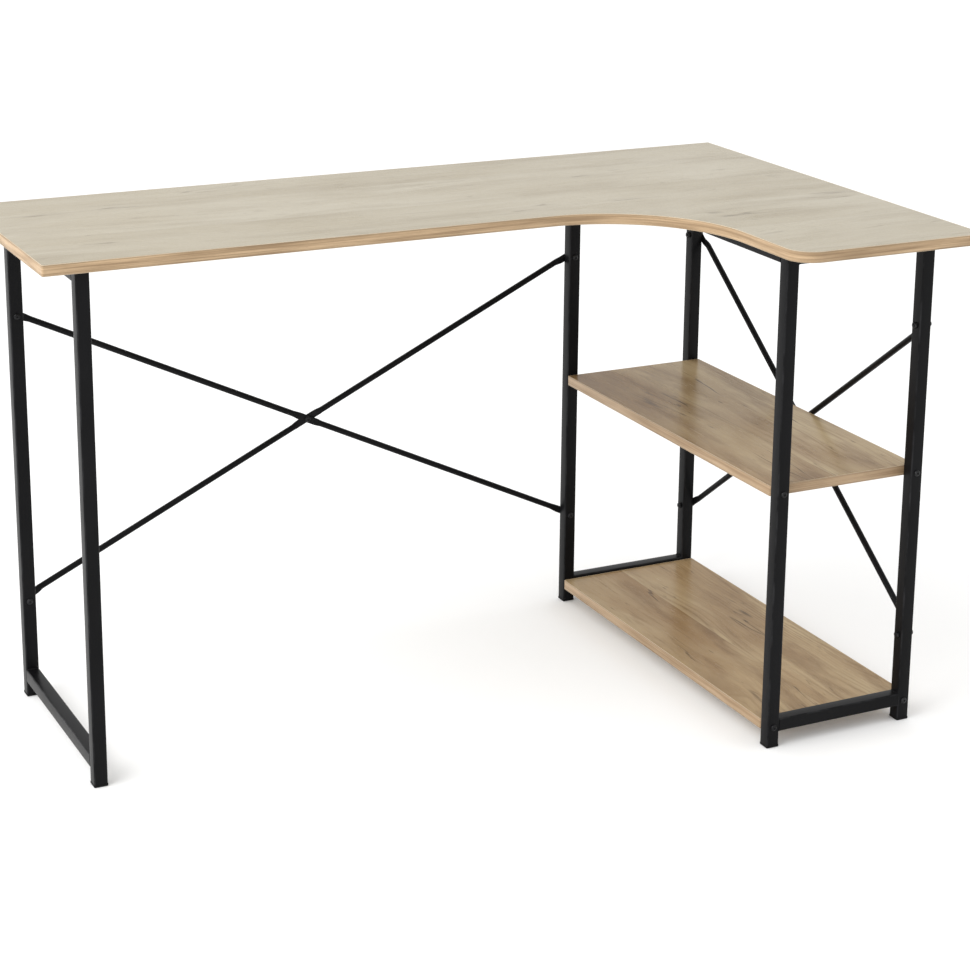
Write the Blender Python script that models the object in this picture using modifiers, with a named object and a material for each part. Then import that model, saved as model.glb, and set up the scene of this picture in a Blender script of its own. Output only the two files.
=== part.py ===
"""Corner desk: an L-shaped board on a square-tube frame with a two-shelf unit.

Axes: +X runs along the long arm towards the short wing, +Y towards the back edge,
+Z up. The origin is on the floor, under the middle of the desk's outline box.
Run with: blender --background --python part.py
"""

import math

import bmesh
import bpy
from mathutils import Matrix, Vector

# ---------------------------------------------------------------- overall sizes
DESK_LENGTH = 1.200  # along the back edge
DESK_DEPTH = 0.720  # back edge to the wing's front edge
DESK_HEIGHT = 0.730  # floor to the top surface
MAIN_DEPTH = 0.390  # back edge to the long arm's front edge
WING_WIDTH = 0.295  # right edge to the wing's left edge

# ---------------------------------------------------------------- boards
BOARD = 0.015  # thickness of the top and of both shelves
EDGE_STRIP = 0.001  # thickness of the strip glued round each board
SWEEP_RADIUS = 0.190  # concave sweep where the two arms meet
WING_CORNER_RADIUS = 0.035  # the wing's front corner on the knee side
BOARD_CORNER_RADIUS = 0.003  # every other corner of a board
MID_SHELF_TOP = 0.382  # floor to the upper face of the middle shelf

# ---------------------------------------------------------------- frame
TUBE = 0.019  # outside of the square tube
TUBE_WALL = 0.0012
TUBE_CORNER = 0.002  # outside corner radius of the tube
BACK_INSET = 0.018  # back edge of the top to the back of the legs
LEFT_INSET = 0.048  # left edge of the top to the left legs
LEFT_FRONT_INSET = 0.022  # long arm's front edge to the left front leg
UNIT_SIDE_INSET = 0.0275  # each side of the wing to the shelf unit
UNIT_FRONT_INSET = 0.071  # wing's front edge to the shelf unit's front legs
LOW_BAR_HEIGHT = 0.0225  # floor to the underside of the low bars and low shelf

# ---------------------------------------------------------------- crossed rods
ROD = 0.009  # diameter of a brace rod
ROD_FLAT = 0.0024  # thickness where a rod is pressed flat
ROD_EYE_WIDTH = 0.011  # width where a rod is pressed flat
ROD_EYE_LENGTH = 0.014  # flat length from the bolt's axis inwards
ROD_TAPER = 0.014  # length over which a rod turns from flat to round
BACK_BRACE_DROP = 0.142  # underside of the top to the back brace's upper bolts
BACK_BRACE_LOW = 0.147  # floor to the back brace's lower bolts
SIDE_BRACE_DROP = 0.127  # underside of the top to the side brace's upper bolts
SIDE_BRACE_LOW = 0.130  # floor to the side brace's lower bolts

# ---------------------------------------------------------------- fasteners, feet
BOLT_SHANK = 0.0025  # radius
BOLT_HEAD = 0.0045  # radius of the domed head
BOLT_HEAD_HEIGHT = 0.0026
DOME = ((0, 1), (0.55, 0.92), (0.88, 0.55), (1, 0))  # shares of its radius, height
SOCKET_RADIUS = 0.0018  # hexagon socket, from its axis to a corner
SOCKET_DEPTH = 0.0014
NUT_RADIUS = 0.0046  # from its axis to a corner
NUT_HEIGHT = 0.0038
BOLT_TIP = 0.0012  # thread left showing past the nut
SHELF_BOLT_BITE = 0.030  # length of a shelf bolt inside its board
SCREW_SHANK = 0.0018  # radius of the screws that hold the top
SCREW_HEAD = 0.0036  # radius
SCREW_HEAD_TOP = 0.0025  # radius of the flat on top of a screw's head
SCREW_HEAD_HEIGHT = 0.0020
SCREW_POINT = 0.0027  # length of a screw's point
SCREW_BITE = 0.010  # length of a screw inside the top
SCREW_INSET = 0.080  # from each end of a long top bar to its screw
FOOT_THICKNESS = 0.003
FOOT_LIP = 0.0005  # how far a foot stands out past its tube
FOOT_PLUG = 0.012  # length of a foot inside its tube

# ---------------------------------------------------------------- fits
GAP = 0.0003  # between pieces that touch
ROUND_SIDES = 10  # sides of a turned fastener
HOLE_SIDES = 10  # sides of a drilled hole
ROD_SIDES = 10  # sides of a brace rod
SWEEP_STEPS, CORNER_STEPS, SMALL_STEPS = 14, 6, 2  # sides of the rounded corners
TUBE_STEPS, PLUG_STEPS = 3, 1
EYE_TURNS = (0, 30, 55, 75)  # degrees, rings round the end of a flattened eye
SHARP_ANGLE = math.radians(35)
CUT_SLACK = 0.002  # how far a cutter runs past the wall it pierces
MERGE = 0.00001
ROUND_SHAPE, FLAT_SHAPE = 2, 6  # power of a rod's section: a circle, a flat strip

# ---------------------------------------------------------------- derived places
LEFT = -DESK_LENGTH / 2
RIGHT = DESK_LENGTH / 2
FRONT = -DESK_DEPTH / 2
BACK = DESK_DEPTH / 2
MAIN_FRONT = BACK - MAIN_DEPTH
WING_LEFT = RIGHT - WING_WIDTH
UNDERSIDE = DESK_HEIGHT - BOARD

HALF_TUBE = TUBE / 2
LEFT_LEG_X = LEFT + LEFT_INSET + HALF_TUBE
UNIT_LEFT = WING_LEFT + UNIT_SIDE_INSET
UNIT_RIGHT = RIGHT - UNIT_SIDE_INSET
UNIT_LEFT_X = UNIT_LEFT + HALF_TUBE
UNIT_RIGHT_X = UNIT_RIGHT - HALF_TUBE
BACK_LEG_Y = BACK - BACK_INSET - HALF_TUBE
LEFT_FRONT_Y = MAIN_FRONT + LEFT_FRONT_INSET + HALF_TUBE
UNIT_FRONT_Y = FRONT + UNIT_FRONT_INSET + HALF_TUBE
TOP_BAR_Z = UNDERSIDE - GAP - HALF_TUBE
LOW_BAR_Z = LOW_BAR_HEIGHT + HALF_TUBE

ROD_RADIUS = ROD / 2
BOLT_HOLE = BOLT_SHANK + GAP  # radius
SCREW_HOLE = SCREW_SHANK + GAP  # radius

FINISHES = {
    # colour, roughness, metallic
    "oak_laminate": ((0.57, 0.50, 0.38), 0.45, 0.0),
    "oak_edge_strip": ((0.50, 0.37, 0.23), 0.50, 0.0),
    "shelf_laminate": ((0.40, 0.30, 0.18), 0.45, 0.0),
    "black_powder_coat": ((0.012, 0.012, 0.013), 0.42, 0.0),
    "black_zinc": ((0.02, 0.02, 0.021), 0.35, 0.9),
    "black_plastic": ((0.015, 0.015, 0.016), 0.55, 0.0),
}


# ================================================================ small helpers
def clear_scene():
    for thing in list(bpy.data.objects):
        bpy.data.objects.remove(thing, do_unlink=True)


def new_collection(name):
    collection = bpy.data.collections.new(name)
    bpy.context.scene.collection.children.link(collection)
    return collection


def add_object(name, mesh, collection, location=(0, 0, 0), rotation=(0, 0, 0)):
    piece = bpy.data.objects.new(name, mesh)
    piece.location = location
    piece.rotation_euler = rotation
    collection.objects.link(piece)
    return piece


def give_finish(piece, finish):
    colour, roughness, metallic = FINISHES[finish]
    material = bpy.data.materials.new(f"{piece.name}_{finish}")
    material.use_nodes = True
    shader = material.node_tree.nodes["Principled BSDF"]
    shader.inputs["Base Color"].default_value = (*colour, 1.0)
    shader.inputs["Roughness"].default_value = roughness
    shader.inputs["Metallic"].default_value = metallic
    piece.material_slots[0].link = "OBJECT"
    piece.material_slots[0].material = material


def add_part(name, mesh, finish, location=(0, 0, 0), rotation=(0, 0, 0)):
    if not mesh.materials:
        mesh.materials.append(None)
    piece = add_object(name, mesh, PARTS, location, rotation)
    give_finish(piece, finish)
    return piece


def mesh_from(piece):
    """The evaluated shape of a construction object, as a mesh; the object goes."""
    graph = bpy.context.evaluated_depsgraph_get()
    mesh = bpy.data.meshes.new_from_object(piece.evaluated_get(graph))
    shape = bmesh.new()
    shape.from_mesh(mesh)
    bmesh.ops.remove_doubles(shape, verts=shape.verts, dist=MERGE)
    bmesh.ops.recalc_face_normals(shape, faces=shape.faces)
    shape.to_mesh(mesh)
    shape.free()
    mesh.materials.clear()
    bpy.data.objects.remove(piece, do_unlink=True)
    return mesh


def boolean(piece, other, operation):
    step = piece.modifiers.new(operation.lower(), "BOOLEAN")
    step.operation = operation
    step.solver = "EXACT"
    step.object = other


# ================================================================ outlines
def rounded_outline(corners):
    """Points round a polygon whose corners are (x, y, radius, segments)."""
    points = []
    count = len(corners)
    for index, (x, y, radius, segments) in enumerate(corners):
        here = Vector((x, y))
        before = Vector(corners[index - 1][:2]) - here
        after = Vector(corners[(index + 1) % count][:2]) - here
        before.normalize()
        after.normalize()
        half_angle = before.angle(after) / 2
        centre = here + (before + after).normalized() * radius / math.sin(half_angle)
        start = here + before * radius / math.tan(half_angle) - centre
        turn = (here + after * radius / math.tan(half_angle) - centre).angle_signed(start)
        for step in range(segments + 1):
            points.append(centre + Matrix.Rotation(turn * step / segments, 2) @ start)
    return points


def rounded_box(half_x, half_y, radius, segments=TUBE_STEPS):
    return rounded_outline(
        [
            (-half_x, -half_y, radius, segments),
            (half_x, -half_y, radius, segments),
            (half_x, half_y, radius, segments),
            (-half_x, half_y, radius, segments),
        ]
    )


def desk_outline(inset):
    """The L-shaped outline, moved inwards by inset."""
    small = BOARD_CORNER_RADIUS - inset
    return rounded_outline(
        [
            (LEFT + inset, MAIN_FRONT + inset, small, SMALL_STEPS),
            (WING_LEFT + inset, MAIN_FRONT + inset, SWEEP_RADIUS + inset, SWEEP_STEPS),
            (WING_LEFT + inset, FRONT + inset, WING_CORNER_RADIUS - inset, CORNER_STEPS),
            (RIGHT - inset, FRONT + inset, small, SMALL_STEPS),
            (RIGHT - inset, BACK - inset, small, SMALL_STEPS),
            (LEFT + inset, BACK - inset, small, SMALL_STEPS),
        ]
    )


def extruded(outlines, thickness):
    """A flat outline (outer, then any holes) as a solid centred on its plane."""
    flat = bpy.data.curves.new("outline", "CURVE")
    flat.dimensions = "2D"
    flat.fill_mode = "BOTH"
    flat.extrude = thickness / 2
    for outline in outlines:
        spline = flat.splines.new("POLY")
        spline.points.add(len(outline) - 1)
        for point, (x, y) in zip(spline.points, outline):
            point.co = (x, y, 0, 1)
        spline.use_cyclic_u = True
    return mesh_from(add_object("outline", flat, CUTTERS))


def turned(profile):
    """A profile of (radius, height) points, head first, turned about Z."""
    line = bpy.data.meshes.new("profile")
    line.from_pydata(
        [(radius, 0, height) for radius, height in profile],
        [(i, i + 1) for i in range(len(profile) - 1)],
        [],
    )
    piece = add_object("turned", line, CUTTERS)
    spin = piece.modifiers.new("spin", "SCREW")
    spin.axis = "Z"
    spin.steps = ROUND_SIDES
    spin.render_steps = ROUND_SIDES
    spin.use_merge_vertices = True
    spin.merge_threshold = MERGE
    return piece


def prism(name, sides, radius, depth, location=(0, 0, 0), rotation=(0, 0, 0)):
    """A closed prism along Z, for a drill, a hexagon socket or a nut."""
    shape = bmesh.new()
    bmesh.ops.create_cone(
        shape, cap_ends=True, segments=sides, radius1=radius, radius2=radius, depth=depth
    )
    mesh = bpy.data.meshes.new(name)
    shape.to_mesh(mesh)
    shape.free()
    cutter = add_object(name, mesh, CUTTERS, location, rotation)
    cutter.hide_render = True
    cutter.display_type = "WIRE"
    return cutter


# ================================================================ drilling
ALONG = {
    # Euler angles that turn local +Z to each direction
    "+Y": (-math.pi / 2, 0, 0),
    "-Y": (math.pi / 2, 0, 0),
    "+X": (0, math.pi / 2, 0),
    "-X": (0, -math.pi / 2, 0),
    "+Z": (0, 0, 0),
    "-Z": (math.pi, 0, 0),
}
UNIT = {
    "+Y": Vector((0, 1, 0)),
    "-Y": Vector((0, -1, 0)),
    "+X": Vector((1, 0, 0)),
    "-X": Vector((-1, 0, 0)),
    "+Z": Vector((0, 0, 1)),
    "-Z": Vector((0, 0, -1)),
}


def drill(name, head_place, head_way, depth, radius, pieces):
    """A hole that starts at head_place and runs depth against head_way."""
    length = depth + CUT_SLACK
    middle = Vector(head_place) - UNIT[head_way] * (depth - CUT_SLACK) / 2
    cutter = prism(f"{name}_hole", HOLE_SIDES, radius, length, middle, ALONG[head_way])
    for piece in pieces:
        boolean(piece, cutter, "DIFFERENCE")


# ================================================================ frame
def tube_mesh(length):
    inner_half = HALF_TUBE - TUBE_WALL
    inner_corner = max(TUBE_CORNER - TUBE_WALL, TUBE_CORNER / 4)
    outer = rounded_box(HALF_TUBE, HALF_TUBE, TUBE_CORNER)
    inner = rounded_box(inner_half, inner_half, inner_corner)
    return extruded([outer, inner], length)


def tube_between(name, start, end):
    """A square tube along one axis, its open ends at start and end."""
    start, end = Vector(start), Vector(end)
    run = end - start
    way = "+X" if abs(run.x) > MERGE else "+Y" if abs(run.y) > MERGE else "+Z"
    mesh = tube_mesh(run.length)
    return add_part(name, mesh, "black_powder_coat", (start + end) / 2, ALONG[way])


def build_leg(name, x, y):
    sole_half = HALF_TUBE + FOOT_LIP
    sole_mesh = extruded([rounded_box(sole_half, sole_half, TUBE_CORNER)], FOOT_THICKNESS)
    foot = add_part(f"{name}_foot", sole_mesh, "black_plastic", (x, y, FOOT_THICKNESS / 2))
    plug_half = HALF_TUBE - TUBE_WALL - GAP
    overlap = FOOT_THICKNESS / 2
    plug_outline = rounded_box(plug_half, plug_half, TUBE_CORNER / 2, PLUG_STEPS)
    plug_mesh = extruded([plug_outline], FOOT_PLUG + overlap)
    plug_z = FOOT_THICKNESS + (FOOT_PLUG - overlap) / 2
    plug = add_object(f"{name}_plug", plug_mesh, CUTTERS, (x, y, plug_z))
    plug.hide_render = True
    plug.display_type = "WIRE"
    boolean(foot, plug, "UNION")
    return tube_between(f"{name}_leg", (x, y, FOOT_THICKNESS + GAP), (x, y, UNDERSIDE - GAP))


def build_frame():
    places = {
        "left_front": (LEFT_LEG_X, LEFT_FRONT_Y),
        "left_back": (LEFT_LEG_X, BACK_LEG_Y),
        "shelf_back_left": (UNIT_LEFT_X, BACK_LEG_Y),
        "shelf_back_right": (UNIT_RIGHT_X, BACK_LEG_Y),
        "shelf_front_left": (UNIT_LEFT_X, UNIT_FRONT_Y),
        "shelf_front_right": (UNIT_RIGHT_X, UNIT_FRONT_Y),
    }
    legs = {name: build_leg(name, x, y) for name, (x, y) in places.items()}

    reach = HALF_TUBE + GAP  # from a leg's axis to the end of a bar welded to it
    ends = {}
    for level, z in (("top", TOP_BAR_Z), ("bottom", LOW_BAR_Z)):
        ends[f"left_frame_{level}_bar"] = (
            Vector((LEFT_LEG_X, LEFT_FRONT_Y + reach, z)),
            Vector((LEFT_LEG_X, BACK_LEG_Y - reach, z)),
        )
        for row, y in (("front", UNIT_FRONT_Y), ("back", BACK_LEG_Y)):
            ends[f"shelf_{row}_{level}_bar"] = (
                Vector((UNIT_LEFT_X + reach, y, z)),
                Vector((UNIT_RIGHT_X - reach, y, z)),
            )
    for side, x in (("left", UNIT_LEFT_X), ("right", UNIT_RIGHT_X)):
        ends[f"shelf_{side}_rail"] = (
            Vector((x, UNIT_FRONT_Y + reach, TOP_BAR_Z)),
            Vector((x, BACK_LEG_Y - reach, TOP_BAR_Z)),
        )
    bars = {name: (tube_between(name, *pair), *pair) for name, pair in ends.items()}
    return legs, bars


# ================================================================ boards
def build_board(name, outline_at, finish, middle_z, place=(0, 0)):
    """A panel and the strip round it. outline_at(inset) gives its outline."""
    strip_mesh = extruded([outline_at(0), outline_at(EDGE_STRIP)], BOARD)
    core_mesh = extruded([outline_at(EDGE_STRIP + GAP)], BOARD)
    where = (*place, middle_z)
    core = add_part(name, core_mesh, finish, where)
    strip = add_part(f"{name}_edge_band", strip_mesh, "oak_edge_strip", where)
    return core, strip


def build_boards():
    shelf_front = UNIT_FRONT_Y + HALF_TUBE + GAP
    shelf_back = BACK_LEG_Y - HALF_TUBE - GAP
    half_length = (shelf_back - shelf_front) / 2
    half_width = (UNIT_RIGHT - UNIT_LEFT) / 2
    place = ((UNIT_LEFT + UNIT_RIGHT) / 2, (shelf_back + shelf_front) / 2)

    def shelf_outline(inset):
        radius = BOARD_CORNER_RADIUS - inset
        return rounded_box(half_width - inset, half_length - inset, radius, SMALL_STEPS)

    top_middle = DESK_HEIGHT - BOARD / 2
    boards = {"desktop": build_board("desktop", desk_outline, "oak_laminate", top_middle)}
    for name, top in (("mid_shelf", MID_SHELF_TOP), ("bottom_shelf", LOW_BAR_HEIGHT + BOARD)):
        boards[name] = build_board(name, shelf_outline, "shelf_laminate", top - BOARD / 2, place)
    return boards


# ================================================================ fasteners
def bolt_mesh(length, nut_at=None):
    """A domed bolt along -Z from its head's underside, with its nut if it has one."""
    dome = [(BOLT_HEAD * out, BOLT_HEAD_HEIGHT * up) for out, up in DOME]
    shank = [(BOLT_SHANK, 0), (BOLT_SHANK, -length), (0, -length)]
    bolt = turned(dome + shank)
    socket = prism(
        "socket", 6, SOCKET_RADIUS, 2 * SOCKET_DEPTH, (0, 0, BOLT_HEAD_HEIGHT)
    )
    boolean(bolt, socket, "DIFFERENCE")
    helpers = [socket]
    if nut_at is not None:
        nut = prism("nut", 6, NUT_RADIUS, NUT_HEIGHT, (0, 0, -nut_at - NUT_HEIGHT / 2))
        boolean(bolt, nut, "UNION")
        helpers.append(nut)
    bpy.context.view_layer.update()
    mesh = mesh_from(bolt)
    for helper in helpers:
        bpy.data.objects.remove(helper, do_unlink=True)
    mesh.materials.append(None)
    return mesh


def screw_mesh(length):
    head = [(0, SCREW_HEAD_HEIGHT), (SCREW_HEAD_TOP, SCREW_HEAD_HEIGHT), (SCREW_HEAD, 0)]
    shank = [(SCREW_SHANK, 0), (SCREW_SHANK, SCREW_POINT - length), (0, -length)]
    mesh = mesh_from(turned(head + shank))
    mesh.materials.append(None)
    return mesh


def nut_mesh():
    nut = prism("nut", 6, NUT_RADIUS, NUT_HEIGHT)
    bore = prism("bore", HOLE_SIDES, BOLT_HOLE, 2 * NUT_HEIGHT)
    boolean(nut, bore, "DIFFERENCE")
    bpy.context.view_layer.update()
    mesh = mesh_from(nut)
    bpy.data.objects.remove(bore, do_unlink=True)
    mesh.materials.append(None)
    return mesh


def fasten(name, mesh, face_place, way):
    """Puts a fastener's head on the face at face_place, looking along way."""
    place = Vector(face_place) + UNIT[way] * GAP
    return add_part(name, mesh, "black_zinc", place, ALONG[way])


def build_shelf_bolts(legs, boards):
    through = TUBE + 2 * GAP  # from a head's underside to the board's end
    length = through + SHELF_BOLT_BITE
    depth = TUBE + GAP + SHELF_BOLT_BITE + GAP
    mesh = bolt_mesh(length)
    for shelf in ("mid_shelf", "bottom_shelf"):
        core, strip = boards[shelf]
        number = 0
        for end, y, way in (("front", UNIT_FRONT_Y, "-Y"), ("back", BACK_LEG_Y, "+Y")):
            for side, x in (("left", UNIT_LEFT_X), ("right", UNIT_RIGHT_X)):
                number += 1
                face = Vector((x, y, core.location.z)) + UNIT[way] * HALF_TUBE
                name = f"{shelf}_bolt_{number}"
                fasten(name, mesh, face, way)
                leg = legs[f"shelf_{end}_{side}"]
                drill(name, face, way, depth, BOLT_HOLE, [leg, core, strip])


def build_top_screws(bars, boards):
    """Screws up through the top bars and rails into the underside of the top."""
    core = boards["desktop"][0]
    length = TUBE + 2 * GAP + SCREW_BITE
    depth = TUBE + GAP + SCREW_BITE + GAP
    mesh = screw_mesh(length)
    down = Vector((0, 0, -HALF_TUBE))
    number = 0
    for bar_name in ("left_frame_top_bar", "shelf_left_rail", "shelf_right_rail"):
        bar, start, end = bars[bar_name]
        inset = (end - start).normalized() * SCREW_INSET
        for place in (start + inset, end - inset):
            number += 1
            name = f"desktop_screw_{number}"
            fasten(name, mesh, place + down, "-Z")
            drill(name, place + down, "-Z", depth, SCREW_HOLE, [bar, core])
    for bar_name in ("shelf_front_top_bar", "shelf_back_top_bar"):
        bar, start, end = bars[bar_name]
        number += 1
        name = f"desktop_screw_{number}"
        place = (start + end) / 2
        fasten(name, mesh, place + down, "-Z")
        drill(name, place + down, "-Z", depth, SCREW_HOLE, [bar, core])


# ================================================================ crossed rods
def section(half_width, half_thickness, offset, squareness):
    """One ring of a rod: a circle or, with more squareness, a flat strip."""
    ring = []
    for step in range(ROD_SIDES):
        angle = 2 * math.pi * (step + 0.5) / ROD_SIDES
        c, s = math.cos(angle), math.sin(angle)
        across = math.copysign(abs(c) ** (2 / squareness), c) * half_width
        out = math.copysign(abs(s) ** (2 / squareness), s) * half_thickness
        ring.append((across, out + offset))
    return ring


def rod_mesh(span, side, crossing_angle):
    """A rod between two bolts span apart, along X and centred, pressed flat at its
    eyes, towards -Z, and in the middle, towards side (-1 or +1)."""
    half_eye = ROD_EYE_WIDTH / 2
    half_flat = ROD_FLAT / 2
    eye_offset = half_flat - ROD_RADIUS
    round_form = (ROD_RADIUS, ROD_RADIUS, 0, ROUND_SHAPE)
    middle_form = (half_eye, half_flat, side * (ROD_FLAT + GAP) / 2, FLAT_SHAPE)
    eye_form = (half_eye, half_flat, eye_offset, FLAT_SHAPE)
    spread = (1 + math.cos(crossing_angle)) / math.sin(crossing_angle)
    flat_reach = half_eye * spread + CUT_SLACK / 2
    end = span / 2
    half = [
        (flat_reach, middle_form),
        (flat_reach + ROD_TAPER, round_form),
        (end - ROD_EYE_LENGTH - ROD_TAPER, round_form),
        (end - ROD_EYE_LENGTH, eye_form),
    ]
    for degrees in EYE_TURNS:
        turn = math.radians(degrees)
        form = (half_eye * math.cos(turn), *eye_form[1:])
        half.append((end + half_eye * math.sin(turn), form))
    stations = [(-x, form) for x, form in reversed(half)] + half

    shape = bmesh.new()
    rings = [
        [shape.verts.new((x, across, out)) for across, out in section(*form)]
        for x, form in stations
    ]
    for ring, following in zip(rings, rings[1:]):
        for step in range(len(ring)):
            after = (step + 1) % len(ring)
            shape.faces.new((ring[step], ring[after], following[after], following[step]))
    shape.faces.new(list(reversed(rings[0])))
    shape.faces.new(rings[-1])
    bmesh.ops.recalc_face_normals(shape, faces=shape.faces)
    mesh = bpy.data.meshes.new("rod")
    shape.to_mesh(mesh)
    shape.free()
    return mesh


def build_brace(name, near, far, low, high, outward, legs, heads_on_rods):
    """Two crossed rods on the faces of two legs that look along outward.

    near and far are each (leg's name, its axis at floor level). One rod falls from
    height high at near to low at far, and the other rises. The end bolts have their
    heads on the rods and their nuts on the legs, or the other way round.
    """
    (near_leg, near_at), (far_leg, far_at) = near, far
    out = UNIT[outward]
    inward = {"+Y": "-Y", "+X": "-X"}[outward]
    axis_plane = out * (HALF_TUBE + GAP + ROD_RADIUS)
    stack = TUBE + 2 * GAP + ROD_FLAT  # head's underside to the nut's seat
    nut_at = stack + GAP
    bolt = bolt_mesh(nut_at + NUT_HEIGHT + BOLT_TIP, nut_at)
    slope = math.atan2(high - low, (far_at - near_at).length)
    crossing_angle = min(2 * slope, math.pi - 2 * slope)
    rods = []
    number = 0
    for kind, start_z, end_z, side in (("falling", high, low, -1), ("rising", low, high, 1)):
        start = near_at + Vector((0, 0, start_z))
        end = far_at + Vector((0, 0, end_z))
        along = (end - start).normalized()
        across = out.cross(along)
        turn = Matrix((along, across, out)).transposed().to_euler()
        mesh = rod_mesh((end - start).length, side, crossing_angle)
        place = (start + end) / 2 + axis_plane
        rod = add_part(f"{name}_rod_{kind}", mesh, "black_powder_coat", place, turn)
        rods.append(rod)
        for leg, point in ((near_leg, start), (far_leg, end)):
            number += 1
            if heads_on_rods:
                face, way = point + out * (HALF_TUBE + GAP + ROD_FLAT), outward
            else:
                face, way = point - out * HALF_TUBE, inward
            bolt_name = f"{name}_bolt_{number}"
            fasten(bolt_name, bolt, face, way)
            drill(bolt_name, face, way, nut_at + CUT_SLACK, BOLT_HOLE, [legs[leg], rod])

    centre = (near_at + far_at) / 2 + Vector((0, 0, (low + high) / 2)) + axis_plane
    pair = 2 * ROD_FLAT + GAP  # thickness of the two flats at the crossing
    face = centre - out * pair / 2
    nut_way = GAP + pair + GAP
    centre_bolt = bolt_mesh(nut_way + NUT_HEIGHT + BOLT_TIP)
    fasten(f"{name}_centre_bolt", centre_bolt, face, inward)
    nut_place = face + out * (pair + GAP + NUT_HEIGHT / 2)
    add_part(f"{name}_centre_nut", nut_mesh(), "black_zinc", nut_place, ALONG[outward])
    drill(f"{name}_centre", face, inward, pair + CUT_SLACK, BOLT_HOLE, rods)


def build_braces(legs):
    build_brace(
        "back_brace",
        ("left_back", Vector((LEFT_LEG_X, BACK_LEG_Y, 0))),
        ("shelf_back_left", Vector((UNIT_LEFT_X, BACK_LEG_Y, 0))),
        BACK_BRACE_LOW,
        UNDERSIDE - BACK_BRACE_DROP,
        "+Y",
        legs,
        heads_on_rods=False,
    )
    build_brace(
        "side_brace",
        ("shelf_back_right", Vector((UNIT_RIGHT_X, BACK_LEG_Y, 0))),
        ("shelf_front_right", Vector((UNIT_RIGHT_X, UNIT_FRONT_Y, 0))),
        SIDE_BRACE_LOW,
        UNDERSIDE - SIDE_BRACE_DROP,
        "+X",
        legs,
        heads_on_rods=True,
    )


# ================================================================ assembly
def shade():
    for piece in PARTS.objects:
        piece.data.shade_smooth()
        piece.data.set_sharp_from_angle(angle=SHARP_ANGLE)


clear_scene()
PARTS = new_collection("corner_desk")
CUTTERS = new_collection("cutters")

all_legs, all_bars = build_frame()
all_boards = build_boards()
build_shelf_bolts(all_legs, all_boards)
build_top_screws(all_bars, all_boards)
build_braces(all_legs)
shade()
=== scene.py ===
import math
import bmesh
import bpy
from mathutils import Matrix, Vector


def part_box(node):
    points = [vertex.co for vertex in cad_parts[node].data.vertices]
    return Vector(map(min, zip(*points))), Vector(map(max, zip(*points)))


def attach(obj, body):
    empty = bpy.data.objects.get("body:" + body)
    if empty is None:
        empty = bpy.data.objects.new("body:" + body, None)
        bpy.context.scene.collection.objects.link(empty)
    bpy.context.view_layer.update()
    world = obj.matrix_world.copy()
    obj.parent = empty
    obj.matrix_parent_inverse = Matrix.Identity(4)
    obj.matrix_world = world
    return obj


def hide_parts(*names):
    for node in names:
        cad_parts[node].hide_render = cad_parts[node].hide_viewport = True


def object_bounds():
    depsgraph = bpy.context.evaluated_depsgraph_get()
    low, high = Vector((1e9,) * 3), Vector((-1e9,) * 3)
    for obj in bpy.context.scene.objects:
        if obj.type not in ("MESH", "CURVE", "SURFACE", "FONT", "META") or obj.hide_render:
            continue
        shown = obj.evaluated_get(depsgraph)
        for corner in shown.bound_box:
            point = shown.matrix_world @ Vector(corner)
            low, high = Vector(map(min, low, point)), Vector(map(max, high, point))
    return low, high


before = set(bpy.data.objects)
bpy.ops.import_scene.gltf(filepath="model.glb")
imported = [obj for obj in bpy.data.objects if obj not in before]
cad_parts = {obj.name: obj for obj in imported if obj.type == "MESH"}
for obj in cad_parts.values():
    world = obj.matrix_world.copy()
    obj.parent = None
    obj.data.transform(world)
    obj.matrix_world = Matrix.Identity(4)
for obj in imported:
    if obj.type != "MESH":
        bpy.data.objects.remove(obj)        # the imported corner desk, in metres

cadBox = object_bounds()
scene = bpy.context.scene
mm = 0.001
print("desk frame loaded:", len(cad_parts), "nodes")


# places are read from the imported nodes
def middleOf(node):
    low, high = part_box(node)
    return (low + high) / 2


def spanOf(node):
    low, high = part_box(node)
    return high - low


# ---- shader helpers
def put(tree, kind, column, row, values=None, **settings):
    node = tree.nodes.new("ShaderNode" + kind)
    node.location = (column * 190, row * -190)
    for name, value in settings.items():
        setattr(node, name, value)
    for socket, value in (values or {}).items():
        if isinstance(value, bpy.types.NodeSocket):
            tree.links.new(value, node.inputs[socket])
        else:
            node.inputs[socket].default_value = value
    return node


def newGroup(name, colors, numbers, outputs):
    # a group takes a place, colours and numbers, and every one is set where it is used
    tree = bpy.data.node_groups.new(name, "ShaderNodeTree")
    inputs = [("Vector", "Vector")]
    inputs += [(label, "Color") for label in colors]
    inputs += [(label, "Float") for label in numbers]
    for label, kind in inputs:
        tree.interface.new_socket(name=label, in_out="INPUT", socket_type="NodeSocket" + kind)
    for label in outputs:
        kind = "Color" if label == "Color" else "Float"
        tree.interface.new_socket(name=label, in_out="OUTPUT", socket_type="NodeSocket" + kind)
    entry = tree.nodes.new("NodeGroupInput")
    entry.location = (-600, 0)
    leave = tree.nodes.new("NodeGroupOutput")
    leave.location = (2600, 0)
    return tree, entry.outputs, leave.inputs


def useGroup(tree, column, row, groupTree, values):
    return put(tree, "Group", column, row, values, node_tree=groupTree).outputs


def math2(tree, operation, column, row, first, second=0.5, third=None, clamp=False):
    values = {0: first, 1: second}
    if third is not None:
        values[2] = third
    return put(tree, "Math", column, row, values, operation=operation, use_clamp=clamp).outputs[0]


def shiftedBy(tree, column, row, vector, step):
    return put(tree, "VectorMath", column, row, {0: vector, 1: step}, operation="ADD").outputs[0]


def stretched(tree, column, row, vector, scale):
    return put(tree, "Mapping", column, row, {"Vector": vector, "Scale": scale}).outputs["Vector"]


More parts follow.
